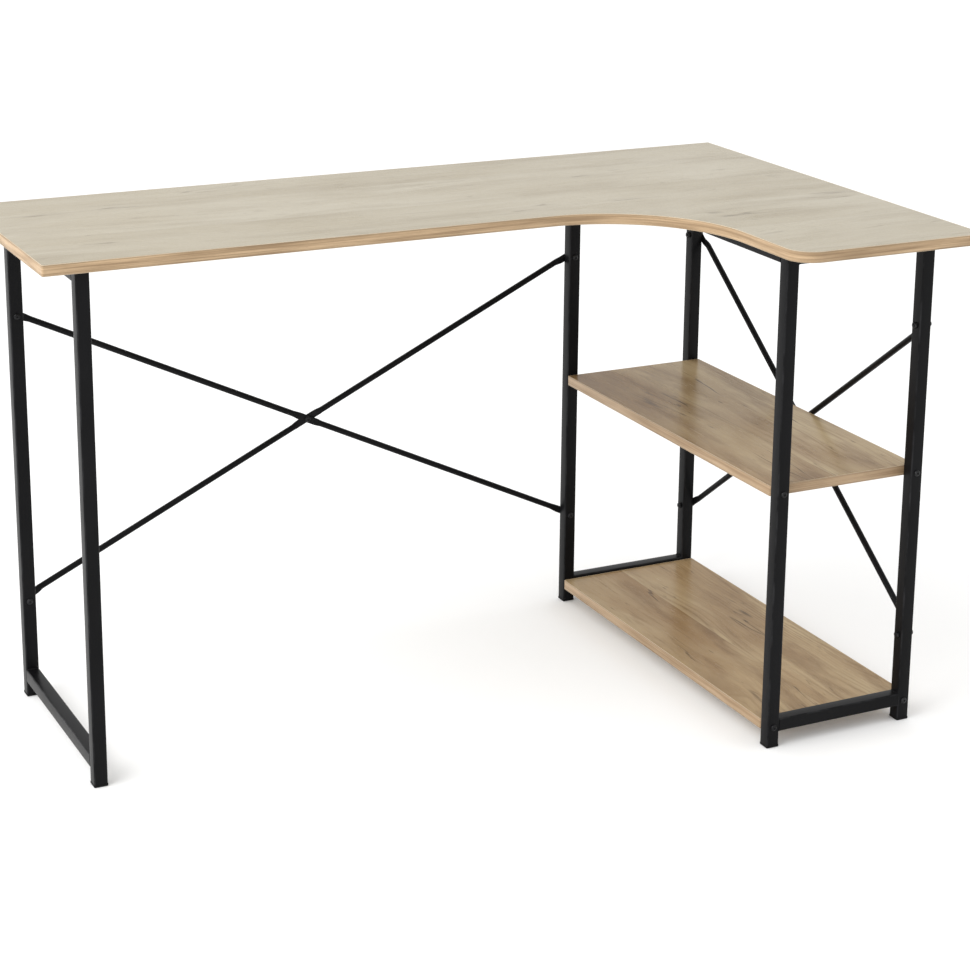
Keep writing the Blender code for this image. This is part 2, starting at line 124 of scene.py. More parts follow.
def noiseOf(tree, column, row, vector, stretch, detail=2.0, roughness=0.5):
    drawn = stretched(tree, column - 1, row, vector, stretch)
    values = {"Vector": drawn, "Scale": 1.0, "Detail": detail, "Roughness": roughness}
    return put(tree, "TexNoise", column, row, values).outputs["Fac"]


def spread(tree, column, row, value, low, high, toLow=0.0, toHigh=1.0, smooth=False):
    values = {"Value": value, "From Min": low, "From Max": high, "To Min": toLow, "To Max": toHigh}
    kind = "SMOOTHSTEP" if smooth else "LINEAR"
    return put(tree, "MapRange", column, row, values, interpolation_type=kind, clamp=True).outputs["Result"]


def maskOf(tree, column, row, vector, stretch, detail, roughness, low, high):
    # noise whose values from low to high become 0 to 1
    noise = noiseOf(tree, column, row, vector, stretch, detail, roughness)
    return spread(tree, column + 1, row, noise, low, high)


def blendColor(tree, column, row, share, first, second):
    return put(tree, "Mix", column, row, {0: share, 6: first, 7: second}, data_type="RGBA").outputs[2]


# ---- shader groups shared by the finishes
oakPattern = {
    # stretch along, across and through the board, detail, roughness, and a mask's limits
    "seamBreaks": ((5.0, 3.0, 3.0), 2.0, 0.5),
    "wander": ((1.9, 6.0, 5.0), 2.0, 0.5),
    "growth": ((0.9, 7.0, 3.0), 1.0, 0.5),
    "ripple": ((7.0, 130.0, 40.0), 4.0, 0.6),
    "lineZone": ((2.2, 9.0, 5.0), 2.0, 0.5, 0.44, 0.62),
    "patch": ((3.0, 10.0, 5.0), 4.0, 0.55, 0.38, 0.62),
    "flame": ((4.6, 27.0, 9.0), 4.0, 0.6, 0.49, 0.66),
    "brush": ((15.0, 170.0, 30.0), 2.0, 0.6, 0.52, 0.68),
    "brushZone": ((3.4, 15.0, 5.0), 2.0, 0.5, 0.46, 0.62),
    "fibre": ((26.0, 900.0, 300.0), 2.0, 0.5),
    "pores": ((70.0, 1500.0, 300.0), 1.0, 0.5, 0.6, 0.7),
    "crack": ((3.0, 40.0, 8.0), 2.0, 0.5),
    "crackZone": ((6.0, 19.0, 5.0), 3.0, 0.5, 0.56, 0.66),
    "fleck": ((30.0, 190.0, 20.0), 1.0, 0.5, 0.72, 0.8),
    "knotCells": (4.4, 10.5, 3.0),
    "knotRings": 170.0,
    "staveOffset": 7.0,
    "seamWidth": 0.9 * mm,
    "lean": 85.0 * mm,  # how far the grain wanders sideways
    "crowding": 0.12,  # how hard a knot bends the growth lines
    "growthLines": 190.0,
    "rippleDepth": 9.0,
    "crackWidth": (0.004, 0.016),  # at its ends, and added in its zone
}


def makeOakDecor():
    tree, given, result = newGroup(
        "oakDecor",
        colors=("Light", "Body", "Dark", "Knot"),
        numbers=("Contrast", "Lines", "Knots", "Cracks", "Stave"),
        outputs=("Color", "Roughness", "Height"),
    )
    # staves: strips along the grain, each with its own tone and its own length of pattern
    place = put(tree, "SeparateXYZ", 0, 0, {0: given["Vector"]}).outputs
    across = math2(tree, "DIVIDE", 1, 0, place["Y"], given["Stave"])
    strip = math2(tree, "FLOOR", 2, 0, across)
    chance = put(tree, "TexWhiteNoise", 3, 0, {"W": strip}, noise_dimensions="1D").outputs["Value"]
    shift = math2(tree, "MULTIPLY", 4, 0, chance, oakPattern["staveOffset"])
    step = put(tree, "CombineXYZ", 5, 0, {"X": shift, "Z": shift}).outputs[0]
    shifted = shiftedBy(tree, 6, 0, given["Vector"], step)

    # a fine broken line where two staves meet
    fromSide = math2(tree, "PINGPONG", 2, -1, across, 0.5)
    seamReach = math2(tree, "MULTIPLY", 3, -1, fromSide, given["Stave"])
    seamLine = spread(tree, 4, -1, seamReach, oakPattern["seamWidth"], oakPattern["seamWidth"] / 3)
    broken = noiseOf(tree, 4, -2, given["Vector"], *oakPattern["seamBreaks"])
    seam = math2(tree, "MULTIPLY", 6, -1, seamLine, spread(tree, 5, -2, broken, 0.42, 0.62, 0.0, 0.4))

    # the grain wanders from side to side along the board
    wander = noiseOf(tree, 1, 2, shifted, *oakPattern["wander"])
    lean = math2(tree, "MULTIPLY", 3, 2, math2(tree, "SUBTRACT", 2, 2, wander, 0.5), oakPattern["lean"])
    bend = put(tree, "CombineXYZ", 4, 2, {"Y": lean}).outputs[0]
    bent = shiftedBy(tree, 5, 2, shifted, bend)

    # knots sit in a few cells; the growth lines crowd round them
    cellPlace = stretched(tree, 0, 4, shifted, oakPattern["knotCells"])
    cells = put(tree, "TexVoronoi", 1, 4, {"Vector": cellPlace, "Scale": 1.0})
    pick = put(tree, "SeparateColor", 2, 4, {0: cells.outputs["Color"]}).outputs[0]
    chosen = math2(tree, "LESS_THAN", 3, 4, pick, given["Knots"])
    away = cells.outputs["Distance"]
    halo = math2(tree, "MULTIPLY", 4, 4, spread(tree, 3, 5, away, 0.40, 0.03, smooth=True), chosen)
    rings = math2(tree, "SINE", 4, 6, math2(tree, "MULTIPLY", 3, 6, away, oakPattern["knotRings"]))
    ringed = math2(tree, "MULTIPLY_ADD", 5, 6, rings, 0.25, 0.75)
    solid = spread(tree, 3, 7, away, 0.080, 0.030, smooth=True)
    core = math2(tree, "MULTIPLY", 6, 6, math2(tree, "MULTIPLY", 4, 7, solid, chosen), ringed)

    # growth lines are the contours of a slow field drawn out along the grain
    field = noiseOf(tree, 7, 2, bent, *oakPattern["growth"])
    crowd = math2(tree, "MULTIPLY", 7, 3, halo, oakPattern["crowding"])
    contours = math2(tree, "ADD", 8, 2, field, crowd)
    total = math2(tree, "MULTIPLY", 9, 2, contours, oakPattern["growthLines"])
    fine = noiseOf(tree, 7, 4, bent, *oakPattern["ripple"])
    ripple = math2(tree, "MULTIPLY_ADD", 10, 2, fine, oakPattern["rippleDepth"], total)
    lines = math2(tree, "MULTIPLY_ADD", 12, 2, math2(tree, "SINE", 11, 2, ripple), 0.5, 0.5)
    lateWood = math2(tree, "POWER", 13, 2, lines, 3.0)
    lineZone = maskOf(tree, 7, 5, bent, *oakPattern["lineZone"])
    grown = math2(tree, "MULTIPLY", 14, 2, math2(tree, "MULTIPLY", 14, 1, lateWood, lineZone), given["Lines"])

    # slow patches, darker flames, brushed strokes, streaks, fibres and pores
    patch = maskOf(tree, 7, 7, bent, *oakPattern["patch"])
    flame = maskOf(tree, 7, 8, bent, *oakPattern["flame"])
    brush = maskOf(tree, 7, 9, bent, *oakPattern["brush"])
    brushZone = maskOf(tree, 9, 10, bent, *oakPattern["brushZone"])
    strokes = math2(tree, "MULTIPLY", 11, 9, brush, brushZone)
    streak = spread(tree, 8, 10, fine, 0.34, 0.68)
    fibre = noiseOf(tree, 7, 11, bent, *oakPattern["fibre"])
    pores = maskOf(tree, 7, 12, bent, *oakPattern["pores"])

    # dark cracks and short flecks, in a few places only
    crackField = noiseOf(tree, 7, 13, bent, *oakPattern["crack"])
    offCrack = math2(tree, "ABSOLUTE", 9, 13, math2(tree, "SUBTRACT", 8, 13, crackField, 0.5))
    zoned = maskOf(tree, 7, 14, bent, *oakPattern["crackZone"])
    narrow, wider = oakPattern["crackWidth"]
    crackEdge = math2(tree, "MULTIPLY_ADD", 9, 14, zoned, wider, narrow)
    thin = spread(tree, 10, 13, offCrack, crackEdge, narrow / 2)
    crack = math2(tree, "MULTIPLY", 11, 13, thin, zoned)
    fleck = math2(tree, "MULTIPLY", 9, 15, maskOf(tree, 7, 15, bent, *oakPattern["fleck"]), 0.6)
    marks = math2(tree, "MULTIPLY", 12, 13, math2(tree, "MAXIMUM", 11, 14, crack, fleck), given["Cracks"])

    # colour, from the slow tones down to the marks
    tone = math2(tree, "MULTIPLY_ADD", 9, 7, patch, 0.66, math2(tree, "MULTIPLY", 8, 6, chance, 0.34))
    color = blendColor(tree, 10, 7, tone, given["Light"], given["Body"])
    layers = (
        (flame, 0.46),
        (grown, 0.38),
        (strokes, 0.30),
        (streak, 0.16),
        (fibre, 0.14),
        (pores, 0.32),
        (halo, 0.5),
    )
    for index, (mask, strength) in enumerate(layers):
        part = math2(tree, "MULTIPLY", 15 + index, 4, mask, strength)
        weight = math2(tree, "MULTIPLY", 15 + index, 5, part, given["Contrast"])
        color = blendColor(tree, 15 + index, 6, weight, color, given["Dark"])
    cut = math2(tree, "MAXIMUM", 21, 4, marks, seam)
    mark = math2(tree, "MAXIMUM", 22, 4, math2(tree, "MULTIPLY", 21, 7, core, 0.8), cut, clamp=True)
    tree.links.new(blendColor(tree, 23, 5, mark, color, given["Knot"]), result["Color"])
    soft = math2(tree, "ADD", 15, 9, streak, pores)
    tree.links.new(spread(tree, 16, 9, soft, 0.0, 1.6, 0.20, 0.33), result["Roughness"])
    low = math2(tree, "SUBTRACT", 16, 10, math2(tree, "MULTIPLY", 15, 10, fibre, 0.5), pores)
    tree.links.new(math2(tree, "SUBTRACT", 17, 10, low, mark), result["Height"])
    return tree


edgePattern = {
    # stretch in the strip's plane and across its height, detail, roughness
    "lines": ((5.0, 5.0, 620.0), 3.0, 0.6),
    "broad": ((9.0, 9.0, 130.0), 2.0, 0.5),
    "fleck": ((90.0, 90.0, 1500.0), 1.0, 0.5),
    # distances from the arris, where the glue line and the rim's painted highlight (partly rubbed wear) each
    # end and where each is full
    "glueInside": (1.9 * mm, 1.1 * mm),
    "glueOutside": (0.4 * mm, 0.8 * mm),
    "rim": (0.6 * mm, 0.3 * mm),
}


def makeEdgeGrain():
    # the printed strip: lines that run along the edge, a darker line at each arris, and a painted highlight
    # on each arris
    tree, given, result = newGroup(
        "edgeGrain",
        colors=("Light", "Dark", "Glue", "Arris"),
        numbers=("Half Thickness",),
        outputs=("Color", "Roughness", "Height"),
    )
    lines = noiseOf(tree, 1, 0, given["Vector"], *edgePattern["lines"])
    broad = noiseOf(tree, 1, 1, given["Vector"], *edgePattern["broad"])
    fleck = noiseOf(tree, 1, 2, given["Vector"], *edgePattern["fleck"])
    mixed = math2(tree, "MULTIPLY_ADD", 2, 0, lines, 0.6, math2(tree, "MULTIPLY", 2, 1, broad, 0.4))
    share = spread(tree, 3, 0, mixed, 0.41, 0.59)
    color = blendColor(tree, 4, 0, share, given["Light"], given["Dark"])
    dots = spread(tree, 3, 2, fleck, 0.62, 0.75, 0.0, 0.5)
    color = blendColor(tree, 5, 0, dots, color, given["Dark"])
    height = put(tree, "SeparateXYZ", 1, 4, {0: given["Vector"]}).outputs["Z"]
    fromEdge = math2(tree, "SUBTRACT", 3, 4, given["Half Thickness"], math2(tree, "ABSOLUTE", 2, 4, height))
    inner = spread(tree, 4, 4, fromEdge, *edgePattern["glueInside"])
    outer = spread(tree, 4, 5, fromEdge, *edgePattern["glueOutside"])
    line = math2(tree, "MULTIPLY", 5, 4, inner, outer)
    color = blendColor(tree, 6, 0, math2(tree, "MULTIPLY", 6, 4, line, 0.5), color, given["Glue"])
    # the rim's lighter colour is a painted highlight along both arrises, patchy along the edge, partly rubbed
    # wear
    rim = spread(tree, 5, 6, fromEdge, *edgePattern["rim"])
    arrisWearAndHighlight = math2(tree, "MULTIPLY", 6, 6, rim, spread(tree, 5, 7, broad, 0.3, 0.6, 0.35, 0.9))
    color = blendColor(tree, 7, 0, arrisWearAndHighlight, color, given["Arris"])
    tree.links.new(color, result["Color"])
    tree.links.new(spread(tree, 5, 8, share, 0.0, 1.0, 0.36, 0.5), result["Roughness"])
    ridges = math2(tree, "MULTIPLY", 5, 9, lines, 0.5)
    tree.links.new(math2(tree, "SUBTRACT", 6, 9, ridges, dots), result["Height"])
    return tree


coatPattern = {
    # stretch on each axis, detail, roughness
    "peel": ((700.0, 700.0, 700.0), 2.0, 0.5),
    "nibs": ((1500.0, 1500.0, 1500.0), 1.0, 0.5, 0.72, 0.8),
    "cloud": ((14.0, 14.0, 9.0), 3.0, 0.5),
    "rub": ((35.0, 35.0, 22.0), 4.0, 0.65, 0.42, 0.66),
    "smear": ((6.0, 4.0, 6.0), 5.0, 0.62),
    "paler": 1.9,
    "rubSmoothing": -0.12,
}


def makePowderCoat():
    # baked powder: an orange-peel skin, with a few dust nibs under it
    tree, given, result = newGroup(
        "powderCoat",
        colors=("Color",),
        numbers=("Sheen Spread", "Roughness"),
        outputs=("Color", "Roughness", "Height"),
    )
    peel = noiseOf(tree, 1, 0, given["Vector"], *coatPattern["peel"])
    nibs = maskOf(tree, 1, 1, given["Vector"], *coatPattern["nibs"])
    cloud = noiseOf(tree, 1, 2, given["Vector"], *coatPattern["cloud"])
    lift = math2(tree, "MULTIPLY", 3, 2, spread(tree, 2, 2, cloud, 0.35, 0.7), 0.5)
    palerValues = {"Value": coatPattern["paler"], "Color": given["Color"]}
    paler = put(tree, "HueSaturation", 3, 0, palerValues).outputs["Color"]
    tree.links.new(blendColor(tree, 4, 0, lift, given["Color"], paler), result["Color"])
    swing = math2(tree, "MULTIPLY", 4, 3, math2(tree, "SUBTRACT", 3, 3, cloud, 0.5), given["Sheen Spread"])
    tree.links.new(math2(tree, "ADD", 5, 3, swing, given["Roughness"]), result["Roughness"])
    tree.links.new(math2(tree, "ADD", 4, 1, peel, nibs), result["Height"])
    return tree


def makeEdgeRub():
    # rubbed arrises: the mesh marks its arrises, and the rub is patchy along them
    tree, given, result = newGroup(
        "edgeRub",
        colors=("Color", "Rubbed Color"),
        numbers=("Roughness", "Amount"),
        outputs=("Color", "Roughness"),
    )
    arris = put(tree, "Attribute", 0, 1, attribute_name="arris").outputs["Fac"]
    patches = maskOf(tree, 1, 2, given["Vector"], *coatPattern["rub"])
    rubbed = math2(tree, "MULTIPLY", 4, 1, math2(tree, "MULTIPLY", 3, 1, arris, patches), given["Amount"])
    tree.links.new(blendColor(tree, 5, 0, rubbed, given["Color"], given["Rubbed Color"]), result["Color"])
    smoother = math2(tree, "MULTIPLY", 5, 2, rubbed, coatPattern["rubSmoothing"])
    tree.links.new(math2(tree, "ADD", 6, 2, given["Roughness"], smoother), result["Roughness"])
    return tree


def makeHandling():
    # faint smears of handling and dust, which only change how sharp the gloss is
    tree, given, result = newGroup(
        "handling",
        colors=(),
        numbers=("Roughness", "Amount"),
        outputs=("Roughness",),
    )
    smear = noiseOf(tree, 1, 0, given["Vector"], *coatPattern["smear"])
    swing = math2(tree, "MULTIPLY", 2, 0, math2(tree, "SUBTRACT", 2, 1, smear, 0.5), given["Amount"])
    tree.links.new(math2(tree, "ADD", 3, 0, given["Roughness"], swing), result["Roughness"])
    return tree


oakDecor = makeOakDecor()
edgeGrain = makeEdgeGrain()
powderCoat = makePowderCoat()
edgeRub = makeEdgeRub()
handling = makeHandling()
print("shader groups ready")


# ---- finishes
def newFinish(name, look):
    material = bpy.data.materials.new(name)
    material.use_nodes = True
    tree = material.node_tree
    shader = tree.nodes["Principled BSDF"]
    shader.location = (1500, 0)
    shader.inputs["Specular IOR Level"].default_value = look["specular"]
    bump = put(tree, "Bump", 6, 2, {"Strength": look["bump"], "Distance": look["bumpDepth"]})
    tree.links.new(bump.outputs["Normal"], shader.inputs["Normal"])
    place = put(tree, "TexCoord", -2, 0).outputs["Object"]
    return material, tree, shader.inputs, bump.inputs["Height"], place


def oakFinish(name, look):
    material, tree, shader, height, place = newFinish(name, look)
    values = {"Vector": place, "Location": look["shift"], "Rotation": (0.0, 0.0, look["turn"])}
    oakValues = {"Vector": put(tree, "Mapping", -1, 0, values).outputs["Vector"]}
    for label in ("Light", "Body", "Dark", "Knot", "Contrast", "Lines", "Knots", "Cracks", "Stave"):
        oakValues[label] = look[label.lower()]
    oak = useGroup(tree, 1, 0, oakDecor, oakValues)
    touch = {"Vector": place, "Roughness": oak["Roughness"], "Amount": look["handled"]}
    tree.links.new(oak["Color"], shader["Base Color"])
    tree.links.new(useGroup(tree, 3, 1, handling, touch)["Roughness"], shader["Roughness"])
    tree.links.new(oak["Height"], height)
    return material


def edgeFinish(name, look, node):
    # the strip's lines are measured from the middle of its height
    material, tree, shader, height, place = newFinish(name, look)
    values = {"Vector": place, "Location": (0.0, 0.0, -middleOf(node).z)}
    stripValues = {"Vector": put(tree, "Mapping", -1, 0, values).outputs["Vector"]}
    stripValues["Half Thickness"] = spanOf(node).z / 2
    for label in ("Light", "Dark", "Glue", "Arris"):
        stripValues[label] = look[label.lower()]
    strip = useGroup(tree, 1, 0, edgeGrain, stripValues)
    tree.links.new(strip["Color"], shader["Base Color"])
    tree.links.new(strip["Roughness"], shader["Roughness"])
    tree.links.new(strip["Height"], height)
    return material


def coatFinish(name, look):
    material, tree, shader, height, place = newFinish(name, look)
    skin = {
        "Vector": place,
        "Color": look["color"],
        "Sheen Spread": look["sheenSpread"],
        "Roughness": look["roughness"],
    }
    coat = useGroup(tree, 1, 0, powderCoat, skin)
    rub = {
        "Vector": place,
        "Color": coat["Color"],
        "Rubbed Color": look["rubbed"],
        "Roughness": coat["Roughness"],
        "Amount": look["rub"],
    }
    rubbed = useGroup(tree, 3, 0, edgeRub, rub)
    touch = {"Vector": place, "Roughness": rubbed["Roughness"], "Amount": look["handled"]}
    tree.links.new(rubbed["Color"], shader["Base Color"])
    tree.links.new(useGroup(tree, 4, 1, handling, touch)["Roughness"], shader["Roughness"])
    tree.links.new(coat["Height"], height)
    shader["Metallic"].default_value = look["metallic"]
    return material


topLook = {
    "light": (0.418, 0.378, 0.292, 1.0),
    "body": (0.362, 0.318, 0.232, 1.0),
    "dark": (0.225, 0.182, 0.118, 1.0),
    "knot": (0.100, 0.073, 0.046, 1.0),
    "contrast": 0.65,
    "lines": 0.5,
    "knots": 0.16,
    "cracks": 0.6,
    "stave": 0.15,
    "shift": (0.3, 0.045, 0.0),
    "turn": 0.0,
    "specular": 0.08,
    "bump": 0.3,
    "bumpDepth": 0.06 * mm,
    "handled": 0.16,
}
shelfLook = {
    "light": (0.505, 0.392, 0.232, 1.0),
    "body": (0.300, 0.190, 0.090, 1.0),
    "dark": (0.150, 0.080, 0.031, 1.0),
    "knot": (0.050, 0.028, 0.014, 1.0),
    "contrast": 1.0,
    "lines": 1.0,
    "knots": 0.3,
    "cracks": 0.9,
    "stave": 0.14,
    "shift": (0.0, 0.1225, 0.0),
    "turn": math.radians(90.0),
    "specular": 0.09,
    "bump": 0.3,
    "bumpDepth": 0.06 * mm,
    "handled": 0.16,
}
# the same strip as on the shelves, made lighter here: painted light standing in for the brighter light on the
# desk's edge
deskEdgeLitLook = {
    "light": (0.530, 0.375, 0.225, 1.0),
    "dark": (0.290, 0.192, 0.106, 1.0),
    "glue": (0.150, 0.104, 0.062, 1.0),
    # the arris colour is a painted highlight, partly rubbed wear
    "arris": (0.600, 0.500, 0.370, 1.0),
    "specular": 0.35,
    "bump": 0.3,
    "bumpDepth": 0.05 * mm,
}
shelfEdgeLook = {
    "light": (0.440, 0.310, 0.190, 1.0),
    "dark": (0.280, 0.182, 0.100, 1.0),
    "glue": (0.130, 0.086, 0.050, 1.0),
    # the arris colour is a painted highlight, partly rubbed wear
    "arris": (0.560, 0.460, 0.330, 1.0),
    "specular": 0.35,
    "bump": 0.3,
    "bumpDepth": 0.05 * mm,
}
steelLook = {
    "color": (0.0048, 0.0048, 0.0053, 1.0),
    "rubbed": (0.030, 0.030, 0.032, 1.0),
    "rub": 0.7,
    "sheenSpread": 0.14,
    "roughness": 0.34,
    "metallic": 0.0,
    "specular": 0.09,
    "bump": 0.35,
    "bumpDepth": 0.04 * mm,
    "handled": 0.12,
}
boltLook = {
    "color": (0.012, 0.012, 0.013, 1.0),
    "rubbed": (0.100, 0.100, 0.100, 1.0),
    "rub": 0.5,
    "sheenSpread": 0.2,
    "roughness": 0.32,
    "metallic": 0.5,
    "specular": 0.25,
    "bump": 0.15,
    "bumpDepth": 0.04 * mm,
    "handled": 0.12,
}
footLook = {
    "color": (0.006, 0.006, 0.006, 1.0),
    "rubbed": (0.030, 0.030, 0.030, 1.0),
    "rub": 0.3,
    "sheenSpread": 0.1,
    "roughness": 0.48,
    "metallic": 0.0,
    "specular": 0.12,
    "bump": 0.6,
    "bumpDepth": 0.04 * mm,
    "handled": 0.12,
}

topOak = oakFinish("topOak", topLook)
shelfOak = oakFinish("shelfOak", shelfLook)
blackPowder = coatFinish("blackPowder", steelLook)
blackZinc = coatFinish("blackZinc", boltLook)
blackPlastic = coatFinish("blackPlastic", footLook)
print("finishes ready")


# ---- mesh helpers
mergeGap = 0.002 * mm  # points closer than this become one
levelGap = 0.01 * mm  # heights closer than this count as the same


def newShape():
    shape = bmesh.new()
    shape.verts.layers.float.new("arris")
    return shape


def markArris(shape, isArris):
    layer = shape.verts.layers.float["arris"]
    for vert in shape.verts:
        vert[layer] = 1.0 if isArris(vert) else 0.0


def vertsIn(geometry):
    return [item for item in geometry if isinstance(item, bmesh.types.BMVert)]


def tallEdges(shape, least):
    return [edge for edge in shape.edges if abs(edge.verts[0].co.z - edge.verts[1].co.z) > least]


def longAxisOf(node):
    size = spanOf(node)
    return max(range(3), key=lambda index: size[index])


def rounded(shape, geom, offset, steps, affect="EDGES", clamp=False):
    return bmesh.ops.bevel(
        shape, geom=geom, offset=offset, offset_type="OFFSET", segments=steps,
        profile=0.5, affect=affect, material=-1, clamp_overlap=clamp,
    )["verts"]


def finishPiece(shape, name, material, nodes, smoothAngle=40.0):
    bmesh.ops.remove_doubles(shape, verts=shape.verts, dist=mergeGap)
    bmesh.ops.recalc_face_normals(shape, faces=shape.faces)
    mesh = bpy.data.meshes.new(name)
    shape.to_mesh(mesh)
    shape.free()
    mesh.materials.append(material)
    mesh.shade_smooth()
    mesh.set_sharp_from_angle(angle=math.radians(smoothAngle))
    piece = bpy.data.objects.new(name, mesh)
    scene.collection.objects.link(piece)
    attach(piece, "root")
    if nodes:
        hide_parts(*nodes)


def moved(shape, matrix):
    bmesh.ops.transform(shape, matrix=matrix, verts=shape.verts)
    return shape


def joined(shapes):
    # several closed shapes in one mesh
    whole = newShape()
    for part in shapes:
        mesh = bpy.data.meshes.new("part")
        part.to_mesh(mesh)
        part.free()
        whole.from_mesh(mesh)
        bpy.data.meshes.remove(mesh)
    return whole


def pulledLoop(shape, edges):
    made = bmesh.ops.extrude_edge_only(shape, edges=edges)["geom"]
    verts = vertsIn(made)
    known = set(verts)
    loop = [item for item in made if isinstance(item, bmesh.types.BMEdge) and set(item.verts) <= known]
    return verts, loop


def lofted(sides, stations, bored=False):
    # a ring is pulled from station to station; a station gives the place for an angle round the
    # ring. Its ends are closed, or joined to each other in a bored piece.
    shape = newShape()
    turn = shape.verts.layers.float.new("turn")
    arris = shape.verts.layers.float["arris"]
    verts = bmesh.ops.create_circle(shape, segments=sides, radius=1.0)["verts"]
    for vert in verts:
        vert[turn] = math.atan2(vert.co.y, vert.co.x)
    edges = list(shape.edges)
    firstLoop = edges
    for index, (station, rub) in enumerate(stations):
        if index:
            verts, edges = pulledLoop(shape, edges)
        for vert in verts:
            vert.co = station(vert[turn])
            vert[arris] = rub
    if bored:
        bmesh.ops.bridge_loops(shape, edges=firstLoop + edges)
    else:
        bmesh.ops.contextual_create(shape, geom=firstLoop)
        bmesh.ops.contextual_create(shape, geom=edges)
    return shape


def roundRing(radius, height):
    return lambda turn: Vector((radius * math.cos(turn), radius * math.sin(turn), height))


def hexRing(cornerRadius, height, rounding=0.0):
    # distance from the axis to a hexagon's side, eased towards a circle by rounding
    flat = cornerRadius * math.cos(math.radians(30.0))

    def place(turn):
        off = (turn + math.radians(30.0)) % math.radians(60.0) - math.radians(30.0)
        reach = flat / math.cos(off)
        reach += (flat - reach) * rounding
        return Vector((reach * math.cos(turn), reach * math.sin(turn), height))

    return place


def crossRing(armLength, armHalfWidth, height):
    # a plus-shaped recess
    def place(turn):
        off = (turn + math.radians(45.0)) % math.radians(90.0) - math.radians(45.0)
        side = abs(math.sin(off))
        reach = min(armLength, armHalfWidth / max(side, 0.0001))
        return Vector((reach * math.cos(turn), reach * math.sin(turn), height))

    return place


# ---- boards
board = {
    "strip": 1.0 * mm,  # thickness of the edge strip
    "sweep": 190.0 * mm,  # concave corner between the arms
    "wingCorner": 35.0 * mm,
    "smallCorner": 3.0 * mm,
    "arris": 0.45 * mm,
    "joint": 0.12 * mm,  # fine groove between strip and panel
    "sweepSteps": 72,
    "cornerSteps": 24,
    "smallSteps": 6,
}


def flatOutline(corners, groups):
    # a flat face whose corners are rounded group by group
    shape = newShape()
    verts = [shape.verts.new((x, y, 0.0)) for x, y in corners]
    shape.faces.new(verts)
    for indices, radius, steps in groups:
        rounded(shape, [verts[index] for index in indices], radius, steps, "VERTICES")
    bmesh.ops.remove_doubles(shape, verts=shape.verts, dist=mergeGap)
    return shape


def thickened(shape, low, high, arris, arrisSteps=3):
    # a flat shape made a slab from low to high, with its rim arrises eased
    bmesh.ops.recalc_face_normals(shape, faces=shape.faces)
    for vert in shape.verts:
        vert.co.z = low
    made = bmesh.ops.extrude_face_region(shape, geom=list(shape.faces))["geom"]
    bmesh.ops.translate(shape, vec=(0.0, 0.0, high - low), verts=vertsIn(made))
    bmesh.ops.recalc_face_normals(shape, faces=shape.faces)
    layer = shape.verts.layers.float["arris"]
    rims = [
        edge
        for edge in shape.edges
        if len(edge.link_faces) == 2 and abs(edge.calc_face_angle(0.0)) > math.radians(80.0)
        and abs(edge.verts[0].co.z - edge.verts[1].co.z) < levelGap
    ]
    for vert in rounded(shape, rims, arris, arrisSteps, clamp=True):
        vert[layer] = 1.0
    return shape


def ringAndCore(corners, groups, strip):
    # the outline split into the strip round it and the panel inside it
    ring = flatOutline(corners, groups)
    faces = list(ring.faces)
    bmesh.ops.inset_region(ring, faces=faces, thickness=strip, use_even_offset=True, use_boundary=True)
    core = ring.copy()
    bmesh.ops.delete(ring, geom=[max(ring.faces, key=lambda face: face.calc_area())], context="FACES")
    inner = max(core.faces, key=lambda face: face.calc_area())
    bmesh.ops.delete(core, geom=[face for face in core.faces if face is not inner], context="FACES")
    return ring, core


def buildBoard(node, corners, groups, finish, edgeLook):
    low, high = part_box(node)
    ring, core = ringAndCore(corners, groups, board["strip"])
    thickened(core, low.z, high.z, board["joint"], 1)
    thickened(ring, low.z, high.z, board["arris"])
    finishPiece(core, node + "_panel", finish, [node], 30.0)
    edge = edgeFinish(node + "Edge", edgeLook, node)
    finishPiece(ring, node + "_edge_strip", edge, [node + "_edge_band"], 50.0)


def buildDesktop():
    low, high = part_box("desktop_edge_band")
    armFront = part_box("left_front_leg")[0].y - deskPlan["legSetBack"]
    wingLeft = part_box("shelf_front_left_leg")[0].x - deskPlan["unitSetIn"]
    corners = [
        (low.x, armFront),
        (wingLeft, armFront),
        (wingLeft, low.y),
        (high.x, low.y),
        (high.x, high.y),
        (low.x, high.y),
    ]
    groups = [
        ([1], board["sweep"], board["sweepSteps"]),
        ([2], board["wingCorner"], board["cornerSteps"]),
        ([0, 3, 4, 5], board["smallCorner"], board["smallSteps"]),
    ]
    buildBoard("desktop", corners, groups, topOak, deskEdgeLitLook)


def buildShelf(node):
    low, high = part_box(node + "_edge_band")
    corners = [(low.x, low.y), (high.x, low.y), (high.x, high.y), (low.x, high.y)]
    groups = [([0, 1, 2, 3], board["smallCorner"], board["smallSteps"])]
    buildBoard(node, corners, groups, shelfOak, shelfEdgeLook)


deskPlan = {
    "legSetBack": 22.0 * mm,  # arm's front edge to the left front leg
    "unitSetIn": 27.5 * mm,  # wing's left edge to the shelf unit
}
buildDesktop()
for shelf in ("mid_shelf", "bottom_shelf"):
    buildShelf(shelf)
print("boards made")


# ---- square tube
tube = {
    "wall": 1.2 * mm,
    "corner": 2.0 * mm,
    "cornerSteps": 5,
    "arrisFrom": 0.05 * mm,  # past the flat, where an arris starts
}


